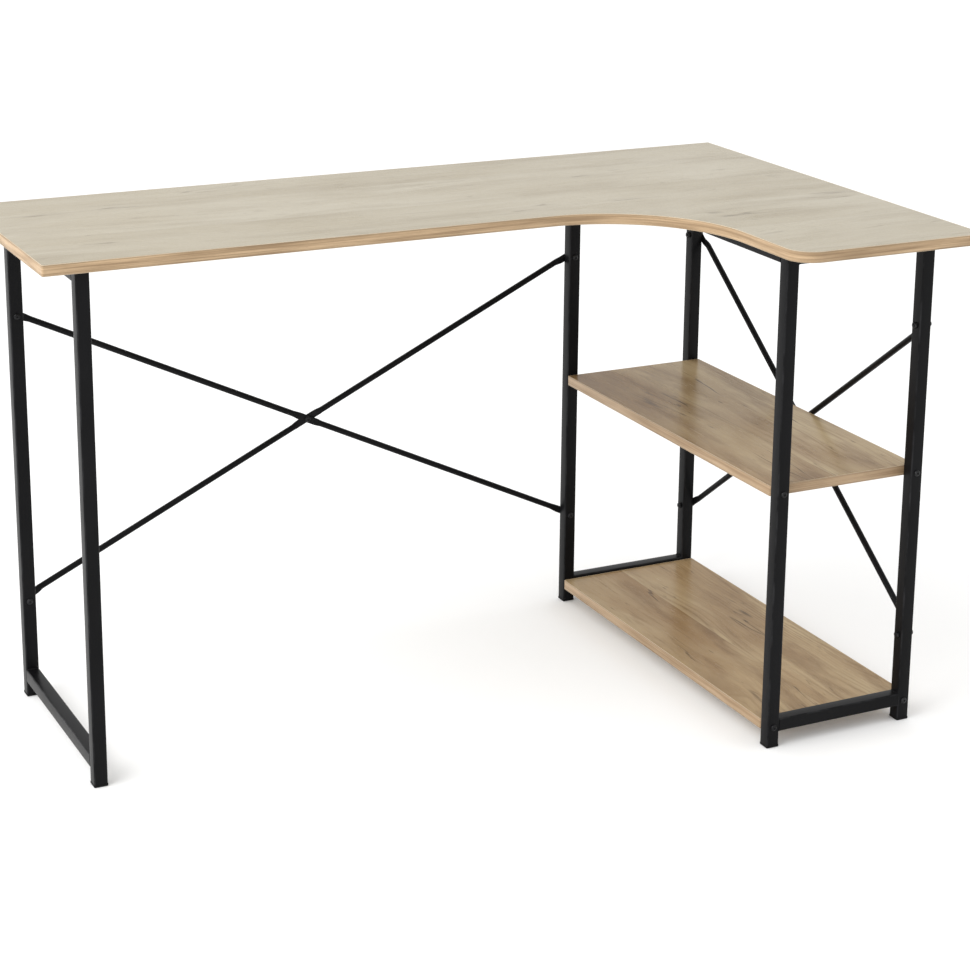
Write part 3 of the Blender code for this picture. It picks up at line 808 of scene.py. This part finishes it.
def squareTube(node, piece):
    size, axis = spanOf(node), longAxisOf(node)
    length, side = size[axis], size[(axis + 1) % 3]
    shape = newShape()
    bmesh.ops.create_cube(shape, size=1.0)
    bmesh.ops.scale(shape, vec=(side, side, length), verts=shape.verts)
    ends = [face for face in shape.faces if abs(face.normal.z) > 0.5]
    bmesh.ops.delete(shape, geom=ends, context="FACES_ONLY")
    rounded(shape, tallEdges(shape, length / 2), tube["corner"], tube["cornerSteps"])
    inside = side / 2 - tube["corner"] + tube["arrisFrom"]
    markArris(shape, lambda vert: abs(vert.co.x) > inside and abs(vert.co.y) > inside)
    bmesh.ops.recalc_face_normals(shape, faces=shape.faces)
    bmesh.ops.solidify(shape, geom=list(shape.faces), thickness=tube["wall"])
    turns = {
        0: Matrix.Rotation(math.radians(90.0), 4, "Y"),
        1: Matrix.Rotation(math.radians(90.0), 4, "X"),
        2: Matrix.Identity(4),
    }
    moved(shape, Matrix.Translation(middleOf(node)) @ turns[axis])
    finishPiece(shape, piece, blackPowder, [node], 40.0)


legNames = [
    "left_front",
    "left_back",
    "shelf_back_left",
    "shelf_back_right",
    "shelf_front_left",
    "shelf_front_right",
]
barNames = [
    "left_frame_top_bar",
    "left_frame_bottom_bar",
    "shelf_front_top_bar",
    "shelf_front_bottom_bar",
    "shelf_back_top_bar",
    "shelf_back_bottom_bar",
    "shelf_left_rail",
    "shelf_right_rail",
]
for name in legNames:
    squareTube(name + "_leg", name + "_upright")
for name in barNames:
    squareTube(name, name + "_tube")
print("tubes made")


# ---- weld beads in the corners where a bar meets a leg
bead = {
    "radius": 1.3 * mm,
    "ripple": 0.22 * mm,
    "pitch": 1.5 * mm,  # length of one ripple
    "short": 1.6 * mm,  # how far a bead stops from each side of the tube
    "sides": 10,
    "rippleSteps": 4,
    "tip": 0.25,  # share of the radius at each end
    "tipLength": 0.4 * mm,
    "fadeStart": 0.55,
    "fadeRate": 8.0,
    "phaseStep": 2.3,  # between one bead and the next
}


def weldBead(middle, along, length, phase):
    # a rippled rod, sunk to its axis in the corner
    steps = int(length / bead["pitch"] * bead["rippleSteps"])
    run = length - 2 * bead["tipLength"]
    stations = [(roundRing(bead["tip"] * bead["radius"], -length / 2), 0.0)]
    for index in range(steps + 1):
        share = index / steps
        fade = min(1.0, bead["fadeRate"] * min(share, 1.0 - share) + bead["fadeStart"])
        wave = math.sin(2.0 * math.pi * share * length / bead["pitch"] + phase)
        radius = (bead["radius"] + bead["ripple"] * wave) * fade
        stations.append((roundRing(radius, (share - 0.5) * run), 0.0))
    stations.append((roundRing(bead["tip"] * bead["radius"], length / 2), 0.0))
    shape = lofted(bead["sides"], stations)
    turn = Vector((0.0, 0.0, 1.0)).rotation_difference(along).to_matrix().to_4x4()
    return moved(shape, Matrix.Translation(middle) @ turn)


def buildWelds(node):
    low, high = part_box(node)
    axis = longAxisOf(node)
    across = 1 if axis == 0 else 0
    along = Vector((0.0, 0.0, 0.0))
    along[across] = 1.0
    length = spanOf(node)[across] - 2 * bead["short"]
    levels = [low.z] if high.z > cadBox[1].z / 2 else [low.z, high.z]
    beads = []
    for end in (low[axis], high[axis]):
        for z in levels:
            middle = middleOf(node)
            middle[axis] = end
            middle.z = z
            beads.append(weldBead(middle, along, length, bead["phaseStep"] * len(beads)))
    finishPiece(joined(beads), node + "_welds", blackPowder, [], 60.0)


for name in barNames:
    buildWelds(name)
print("welds made")


# ---- plastic feet
foot = {
    "corner": 2.2 * mm,
    "thickness": 3.0 * mm,
    "floorEase": 0.8 * mm,
    "topEase": 0.35 * mm,
    "plugInset": 2.1 * mm,
    "plugHeight": 11.5 * mm,
    "steps": 5,
    "easeSteps": 3,
}


def buildFoot(name):
    low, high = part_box(name + "_foot")
    side = high.x - low.x
    shape = newShape()
    bmesh.ops.create_cube(shape, size=1.0)
    bmesh.ops.scale(shape, vec=(side, side, foot["thickness"]), verts=shape.verts)
    rounded(shape, tallEdges(shape, foot["thickness"] / 2), foot["corner"], foot["steps"])
    for face, ease in ((-1.0, foot["floorEase"]), (1.0, foot["topEase"])):
        rim = [
            edge for edge in shape.edges
            if all(vert.co.z * face > foot["thickness"] / 2 - levelGap for vert in edge.verts)
        ]
        rounded(shape, rim, ease, foot["easeSteps"])
    top = max(shape.faces, key=lambda face: (round(face.calc_center_median().z, 6), face.calc_area()))
    bmesh.ops.inset_region(shape, faces=[top], thickness=foot["plugInset"], use_even_offset=True)
    plug = bmesh.ops.extrude_face_region(shape, geom=[top])["geom"]
    bmesh.ops.delete(shape, geom=[top], context="FACES_ONLY")
    bmesh.ops.translate(shape, vec=(0.0, 0.0, foot["plugHeight"]), verts=vertsIn(plug))
    bmesh.ops.recalc_face_normals(shape, faces=shape.faces)
    middle = (low + high) / 2
    moved(shape, Matrix.Translation((middle.x, middle.y, low.z + foot["thickness"] / 2)))
    finishPiece(shape, name + "_foot_cap", blackPlastic, [name + "_foot"], 35.0)


for name in legNames:
    buildFoot(name)
print("feet made")


# ---- bolts, nuts and screws
bolt = {
    "head": 4.5 * mm,  # radius
    "headHeight": 2.6 * mm,
    "seat": 0.45 * mm,  # straight rim under the dome
    "socket": 1.85 * mm,  # hexagon's corner radius
    "socketDepth": 1.5 * mm,
    "socketPoint": 0.35 * mm,  # the drill's cone below the socket
    "socketEase": 0.16 * mm,
    "flatRim": 0.45 * mm,  # flat round the socket
    "domeSteps": 7,
    "rimEase": 0.12 * mm,
    "neck": 0.2 * mm,
    "shank": 2.5 * mm,
    "threadDepth": 0.32 * mm,
    "pitch": 0.8 * mm,
    "threadLength": 14.0 * mm,
    "plainLength": 1.0 * mm,  # shank left without thread on a short bolt
    "sides": 36,
    "firstTurn": 0.4,
    "turnStep": 0.9,  # each bolt stops at its own turn
}
nut = {
    "corner": 4.6 * mm,
    "height": 3.8 * mm,
    "ease": 0.45 * mm,
    "faceEase": 0.1 * mm,
    "boreEase": 0.35 * mm,
    "rounding": 0.12,
    "play": 0.02 * mm,  # round the thread
    "tip": 1.2 * mm,  # thread left past the nut
    "turn": 0.3,
    "centreTurn": 0.2,
    "sides": 48,
}
screw = {
    "head": 3.6 * mm,
    "headHeight": 2.0 * mm,
    "shank": 1.8 * mm,
    "core": 1.25 * mm,
    "pitch": 1.3 * mm,
    "point": 2.7 * mm,
    "crossArm": 1.9 * mm,
    "crossHalf": 0.42 * mm,
    "crossDepth": 1.3 * mm,
    "sides": 32,
}
waysOut = {
    "-Y": Vector((0.0, -1.0, 0.0)),
    "+Y": Vector((0.0, 1.0, 0.0)),
    "-X": Vector((-1.0, 0.0, 0.0)),
    "+X": Vector((1.0, 0.0, 0.0)),
    "-Z": Vector((0.0, 0.0, -1.0)),
}


def placedAlong(shape, way, origin, roll=0.0):
    # local +Z points along way, local zero is at origin
    turn = Vector((0.0, 0.0, 1.0)).rotation_difference(waysOut[way]).to_matrix().to_4x4()
    return moved(shape, Matrix.Translation(origin) @ turn @ Matrix.Rotation(roll, 4, "Z"))


def headSeat(node, way, headHeight):
    # the underside of a fastener's head, from its node's box
    low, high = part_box(node)
    seat = (low + high) / 2
    out = waysOut[way]
    for index in range(3):
        if out[index] > 0:
            seat[index] = high[index] - headHeight
        elif out[index] < 0:
            seat[index] = low[index] + headHeight
    return seat, max(high - low) - headHeight


def threadRings(radius, depth, pitch, start, end):
    # crests and roots of a thread, from start down to end
    rings = []
    count = int((start - end) / pitch)
    for index in range(count):
        z = start - index * pitch
        rings.append((roundRing(radius, z), 0.6))
        rings.append((roundRing(radius - depth, z - pitch / 2), 0.0))
    rings.append((roundRing(radius - depth, end + depth), 0.0))
    rings.append((roundRing(radius - 1.8 * depth, end), 0.3))
    return rings


def boltShape(length):
    radius, top = bolt["head"], bolt["headHeight"]
    bottom = top - bolt["socketDepth"]
    stations = [(roundRing(0.2 * mm, bottom - bolt["socketPoint"]), 0.0)]
    stations.append((hexRing(bolt["socket"], bottom), 0.0))
    stations.append((hexRing(bolt["socket"], top - bolt["socketEase"]), 0.3))
    stations.append((hexRing(bolt["socket"] + bolt["socketEase"], top, 0.2), 1.0))
    flat = bolt["socket"] + bolt["flatRim"]
    stations.append((roundRing(flat, top), 0.6))
    for index in range(1, bolt["domeSteps"] + 1):  # the dome, from its flat to its rim
        share = index / bolt["domeSteps"]
        out = flat + (radius - flat) * math.sin(share * math.pi / 2)
        down = (top - bolt["seat"]) * (1.0 - math.cos(share * math.pi / 2))
        stations.append((roundRing(out, top - down), 0.5))
    stations.append((roundRing(radius, bolt["rimEase"]), 0.6))
    stations.append((roundRing(radius - bolt["rimEase"], 0.0), 0.2))
    stations.append((roundRing(bolt["shank"] + bolt["neck"], 0.0), 0.0))
    stations.append((roundRing(bolt["shank"], -bolt["neck"]), 0.0))
    thread = min(bolt["threadLength"], length - bolt["plainLength"])
    stations.append((roundRing(bolt["shank"], -length + thread + bolt["neck"]), 0.0))
    stations += threadRings(bolt["shank"], bolt["threadDepth"], bolt["pitch"], -length + thread, -length)
    return lofted(bolt["sides"], stations)


def nutShape():
    flat = nut["corner"] * math.cos(math.radians(30.0)) - nut["faceEase"]
    height, ease, bore = nut["height"], nut["ease"], bolt["shank"] + nut["play"]
    rings = [
        (roundRing(bore, nut["boreEase"]), 0.0),
        (roundRing(bore + nut["boreEase"], 0.0), 0.3),
        (roundRing(flat, 0.0), 0.3),
        (hexRing(nut["corner"], ease, nut["rounding"]), 1.0),
        (hexRing(nut["corner"], height - ease, nut["rounding"]), 1.0),
        (roundRing(flat, height), 0.6),
        (roundRing(bore + nut["boreEase"], height), 0.6),
        (roundRing(bore, height - nut["boreEase"]), 0.0),
    ]
    return lofted(nut["sides"], rings, bored=True)


def screwShape(length):
    radius, top = screw["head"], screw["headHeight"]
    arm, half, depth = screw["crossArm"], screw["crossHalf"], screw["crossDepth"]
    stations = [
        (roundRing(0.15 * mm, top - depth), 0.0),
        (crossRing(0.5 * arm, half, top - 0.8 * depth), 0.0),
        (crossRing(arm, half, top - 0.1 * mm), 0.2),
        (crossRing(arm + 0.1 * mm, half + 0.1 * mm, top), 1.0),
        (roundRing(radius * 0.72, top - 0.02 * mm), 0.5),
        (roundRing(radius * 0.92, top - 0.5 * mm), 0.7),
        (roundRing(radius, top - 1.2 * mm), 0.7),
        (roundRing(radius, 0.1 * mm), 0.5),
        (roundRing(radius - 0.1 * mm, 0.0), 0.0),
        (roundRing(screw["shank"], 0.0), 0.0),
        (roundRing(screw["shank"], -length * 0.55), 0.0),
    ]
    z = -length * 0.55 - 0.3 * mm
    while z - screw["pitch"] > -length + screw["point"]:
        stations.append((roundRing(screw["core"], z), 0.0))
        stations.append((roundRing(screw["shank"], z - screw["pitch"] * 0.5), 0.5))
        z -= screw["pitch"]
    stations.append((roundRing(screw["core"], -length + screw["point"]), 0.0))
    stations.append((roundRing(0.15 * mm, -length), 0.0))
    return lofted(screw["sides"], stations)


def buildBolt(node, way, nutSeat=None):
    seat, length = headSeat(node, way, bolt["headHeight"])
    turn = bolt["firstTurn"] + bolt["turnStep"] * len(node)
    parts = [placedAlong(boltShape(length), way, seat, turn)]
    if nutSeat is not None:
        nutFoot = seat - waysOut[way] * (nutSeat + nut["height"])
        parts.append(placedAlong(nutShape(), way, nutFoot, nut["turn"]))
    finishPiece(joined(parts), node + "_steel", blackZinc, [node], 35.0)


def buildFasteners():
    for shelf in ("mid_shelf", "bottom_shelf"):
        for number, way in enumerate(("-Y", "-Y", "+Y", "+Y"), 1):
            buildBolt(f"{shelf}_bolt_{number}", way)
    for brace, way, endWay in (("back_brace", "-Y", "-Y"), ("side_brace", "-X", "+X")):
        for number in range(1, 5):
            node = f"{brace}_bolt_{number}"
            length = headSeat(node, endWay, bolt["headHeight"])[1]
            buildBolt(node, endWay, length - nut["tip"] - nut["height"])
        buildBolt(brace + "_centre_bolt", way)
        node = brace + "_centre_nut"
        away = waysOut[way]
        outer = middleOf(node) - away * abs(spanOf(node).dot(away)) / 2
        shape = placedAlong(nutShape(), way, outer, nut["centreTurn"])
        finishPiece(shape, brace + "_centre_hex_nut", blackZinc, [node], 35.0)
    for number in range(1, 9):
        node = f"desktop_screw_{number}"
        seat, length = headSeat(node, "-Z", screw["headHeight"])
        shape = placedAlong(screwShape(length), "-Z", seat, 0.7 * number)
        finishPiece(shape, node + "_steel", blackZinc, [node], 35.0)


buildFasteners()
print("fasteners made")


# ---- crossed brace rods
rod = {
    "radius": 4.5 * mm,
    "flat": 2.4 * mm,  # thickness where it is pressed
    "eyeWidth": 11.0 * mm,
    "eyeLength": 14.0 * mm,
    "taper": 14.0 * mm,
    "crossGap": 0.3 * mm,
    "sides": 28,
    "taperSteps": 8,
}


def rodForm(width, thickness, offset, squareness):
    return Vector((width, thickness, offset, squareness))


def rodStation(x, form):
    # one section: a circle at squareness 2, a pressed strip at 6
    width, thickness, offset, squareness = form

    def place(turn):
        c, s = math.cos(turn), math.sin(turn)
        across = math.copysign(abs(c) ** (2 / squareness), c) * width
        out = math.copysign(abs(s) ** (2 / squareness), s) * thickness
        return Vector((x, across, out + offset))

    return place


def rodStations(span, side, crossing):
    halfEye, halfFlat, radius = rod["eyeWidth"] / 2, rod["flat"] / 2, rod["radius"]
    roundForm = rodForm(radius, radius, 0.0, 2.0)
    middleForm = rodForm(halfEye, halfFlat, side * (rod["flat"] + rod["crossGap"]) / 2, 6.0)
    eyeForm = rodForm(halfEye, halfFlat, halfFlat - radius, 6.0)
    reach = halfEye * (1 + math.cos(crossing)) / math.sin(crossing) + 1.0 * mm
    end = span / 2

    def eased(start, first, second):
        steps = []
        for index in range(rod["taperSteps"] + 1):
            share = index / rod["taperSteps"]
            smooth = share * share * (3 - 2 * share)
            steps.append((start + rod["taper"] * share, first.lerp(second, smooth)))
        return steps

    half = eased(reach, middleForm, roundForm)
    half += eased(end - rod["eyeLength"] - rod["taper"], roundForm, eyeForm)
    for degrees in (0, 15, 30, 45, 60, 72, 82):
        turn = math.radians(degrees)
        form = rodForm(halfEye * math.cos(turn), halfFlat, halfFlat - radius, 6.0)
        half.append((end + halfEye * math.sin(turn), form))
    both = [(-x, form) for x, form in reversed(half)] + half
    return [(rodStation(x, form), 0.35 if form[3] > 5.0 else 0.0) for x, form in both]


def buildRod(brace, kind, firstBolt, lastBolt, out, side, crossing):
    node = f"{brace}_rod_{kind}"
    low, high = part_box(node)
    index = max(range(3), key=lambda i: abs(out[i]))
    ends = []
    for boltNode in (firstBolt, lastBolt):
        place = middleOf(boltNode)
        place[index] = low[index] + rod["radius"] if out[index] > 0 else high[index] - rod["radius"]
        ends.append(place)
    start, end = ends
    along = (end - start).normalized()
    across = out.cross(along)
    turn = Matrix((along, across, out)).transposed().to_4x4()
    shape = lofted(rod["sides"], rodStations((end - start).length, side, crossing))
    moved(shape, Matrix.Translation((start + end) / 2) @ turn)
    finishPiece(shape, f"{brace}_tie_{kind}", blackPowder, [node], 40.0)


def buildBrace(brace, out):
    # bolts 1 and 2 hold the falling rod, 3 and 4 the rising one
    bolts = [f"{brace}_bolt_{number}" for number in range(1, 5)]
    run = middleOf(bolts[1]) - middleOf(bolts[0])
    slope = math.atan2(abs(run.z), max(abs(run.x), abs(run.y)))
    crossing = min(2 * slope, math.pi - 2 * slope)
    buildRod(brace, "falling", bolts[0], bolts[1], out, -1, crossing)
    buildRod(brace, "rising", bolts[2], bolts[3], out, 1, crossing)


buildBrace("back_brace", waysOut["+Y"])
buildBrace("side_brace", waysOut["+X"])
print("braces made")


# ---- studio
studio = {
    "floorHalf": 30.0,
    "floorColor": (0.86, 0.86, 0.855, 1.0),
    "floorPaler": (0.87, 0.87, 0.868, 1.0),
    "floorGap": 0.5 * mm,  # below the feet
    "floorGlow": 0.09,  # the floor's own light, which keeps its shadows pale
    "room": 1.0,  # brightness of the room's walls
    "leftGlow": 0.55,  # added towards the left wall
    "frontShade": 0.5,  # taken off towards the front
    "rightShade": 0.08,
    "ceilingGlow": 0.2,
    "lightSize": 3.2,
    "keyPlace": (-3.1, -0.7, 3.0),
    "keyPower": 84.0,
    "fillPlace": (2.2, -2.6, 2.4),
    "fillPower": 12.0,
    "lightTarget": (0.0, 0.0, 0.5),
}
camera = {
    "lens": 87.85,
    "shiftX": -0.0342,
    "shiftY": -0.1498,
    "yaw": 26.90,
    "pitch": -15.38,
    "roll": 0.72,
    "place": (-1.3652, -2.8492, 1.4287),
}


def buildFloor():
    shape = bmesh.new()
    bmesh.ops.create_grid(shape, x_segments=6, y_segments=6, size=studio["floorHalf"])
    bmesh.ops.translate(shape, vec=(0.0, 0.0, -studio["floorGap"]), verts=shape.verts)
    mesh = bpy.data.meshes.new("studio_floor")
    shape.to_mesh(mesh)
    shape.free()
    floor = bpy.data.objects.new("studio_floor", mesh)
    scene.collection.objects.link(floor)
    material = bpy.data.materials.new("paleFloor")
    material.use_nodes = True
    tree = material.node_tree
    shader = tree.nodes["Principled BSDF"].inputs
    place = put(tree, "TexCoord", -2, 0).outputs["Object"]
    cloud = noiseOf(tree, 0, 0, place, (0.8, 0.8, 0.8))
    tint = blendColor(tree, 1, 0, cloud, studio["floorColor"], studio["floorPaler"])
    tree.links.new(tint, shader["Base Color"])
    shader["Roughness"].default_value = 0.9
    shader["Specular IOR Level"].default_value = 0.1
    shader["Emission Color"].default_value = (1.0, 1.0, 1.0, 1.0)
    shader["Emission Strength"].default_value = studio["floorGlow"]
    mesh.materials.append(material)


def areaLight(name, place, power):
    light = bpy.data.lights.new(name, "AREA")
    light.shape = "DISK"
    light.size = studio["lightSize"]
    light.energy = power
    lamp = bpy.data.objects.new(name, light)
    scene.collection.objects.link(lamp)
    lamp.location = place
    aim = Vector(studio["lightTarget"]) - Vector(place)
    lamp.rotation_euler = aim.to_track_quat("-Z", "Y").to_euler()


def buildStudio():
    buildFloor()
    world = bpy.data.worlds.new("studioWorld")
    scene.world = world
    world.use_nodes = True
    tree = world.node_tree
    back = tree.nodes["Background"].inputs
    back["Color"].default_value = (1.0, 1.0, 1.0, 1.0)
    toward = put(tree, "SeparateXYZ", -4, 0, {0: put(tree, "TexCoord", -5, 0).outputs["Generated"]}).outputs
    glow = spread(tree, -3, 0, toward["X"], 0.1, -1.0, 0.0, studio["leftGlow"])
    ceiling = spread(tree, -3, 1, toward["Z"], 0.0, 1.0, 0.0, studio["ceilingGlow"])
    front = spread(tree, -3, 2, toward["Y"], 0.1, -1.0, 0.0, studio["frontShade"])
    right = spread(tree, -3, 3, toward["X"], 0.0, 1.0, 0.0, studio["rightShade"])
    added = math2(tree, "ADD", -2, 0, glow, ceiling)
    taken = math2(tree, "ADD", -2, 2, front, right)
    lit = math2(tree, "ADD", -1, 0, math2(tree, "SUBTRACT", -1, 1, added, taken), studio["room"])
    seen = put(tree, "LightPath", -1, 3).outputs["Is Camera Ray"]
    shown = put(tree, "Mix", 0, 0, {0: seen, 2: lit, 3: studio["room"]}).outputs[0]
    tree.links.new(shown, back["Strength"])
    areaLight("keySoftbox", studio["keyPlace"], studio["keyPower"])
    areaLight("fillSoftbox", studio["fillPlace"], studio["fillPower"])
    scene.view_settings.view_transform = "Standard"
    scene.view_settings.look = "None"


def buildCamera():
    data = bpy.data.cameras.new("deskCamera")
    data.sensor_width = 36.0
    data.lens = camera["lens"]
    data.shift_x = camera["shiftX"]
    data.shift_y = camera["shiftY"]
    eye = bpy.data.objects.new("deskCamera", data)
    scene.collection.objects.link(eye)
    turn = Matrix.Rotation(math.radians(-camera["yaw"]), 4, "Z")
    tilt = Matrix.Rotation(math.radians(90.0 + camera["pitch"]), 4, "X")
    roll = Matrix.Rotation(math.radians(camera["roll"]), 4, "Z")
    eye.matrix_world = Matrix.Translation(camera["place"]) @ turn @ tilt @ roll
    scene.camera = eye


buildStudio()
buildCamera()
print("studio ready")
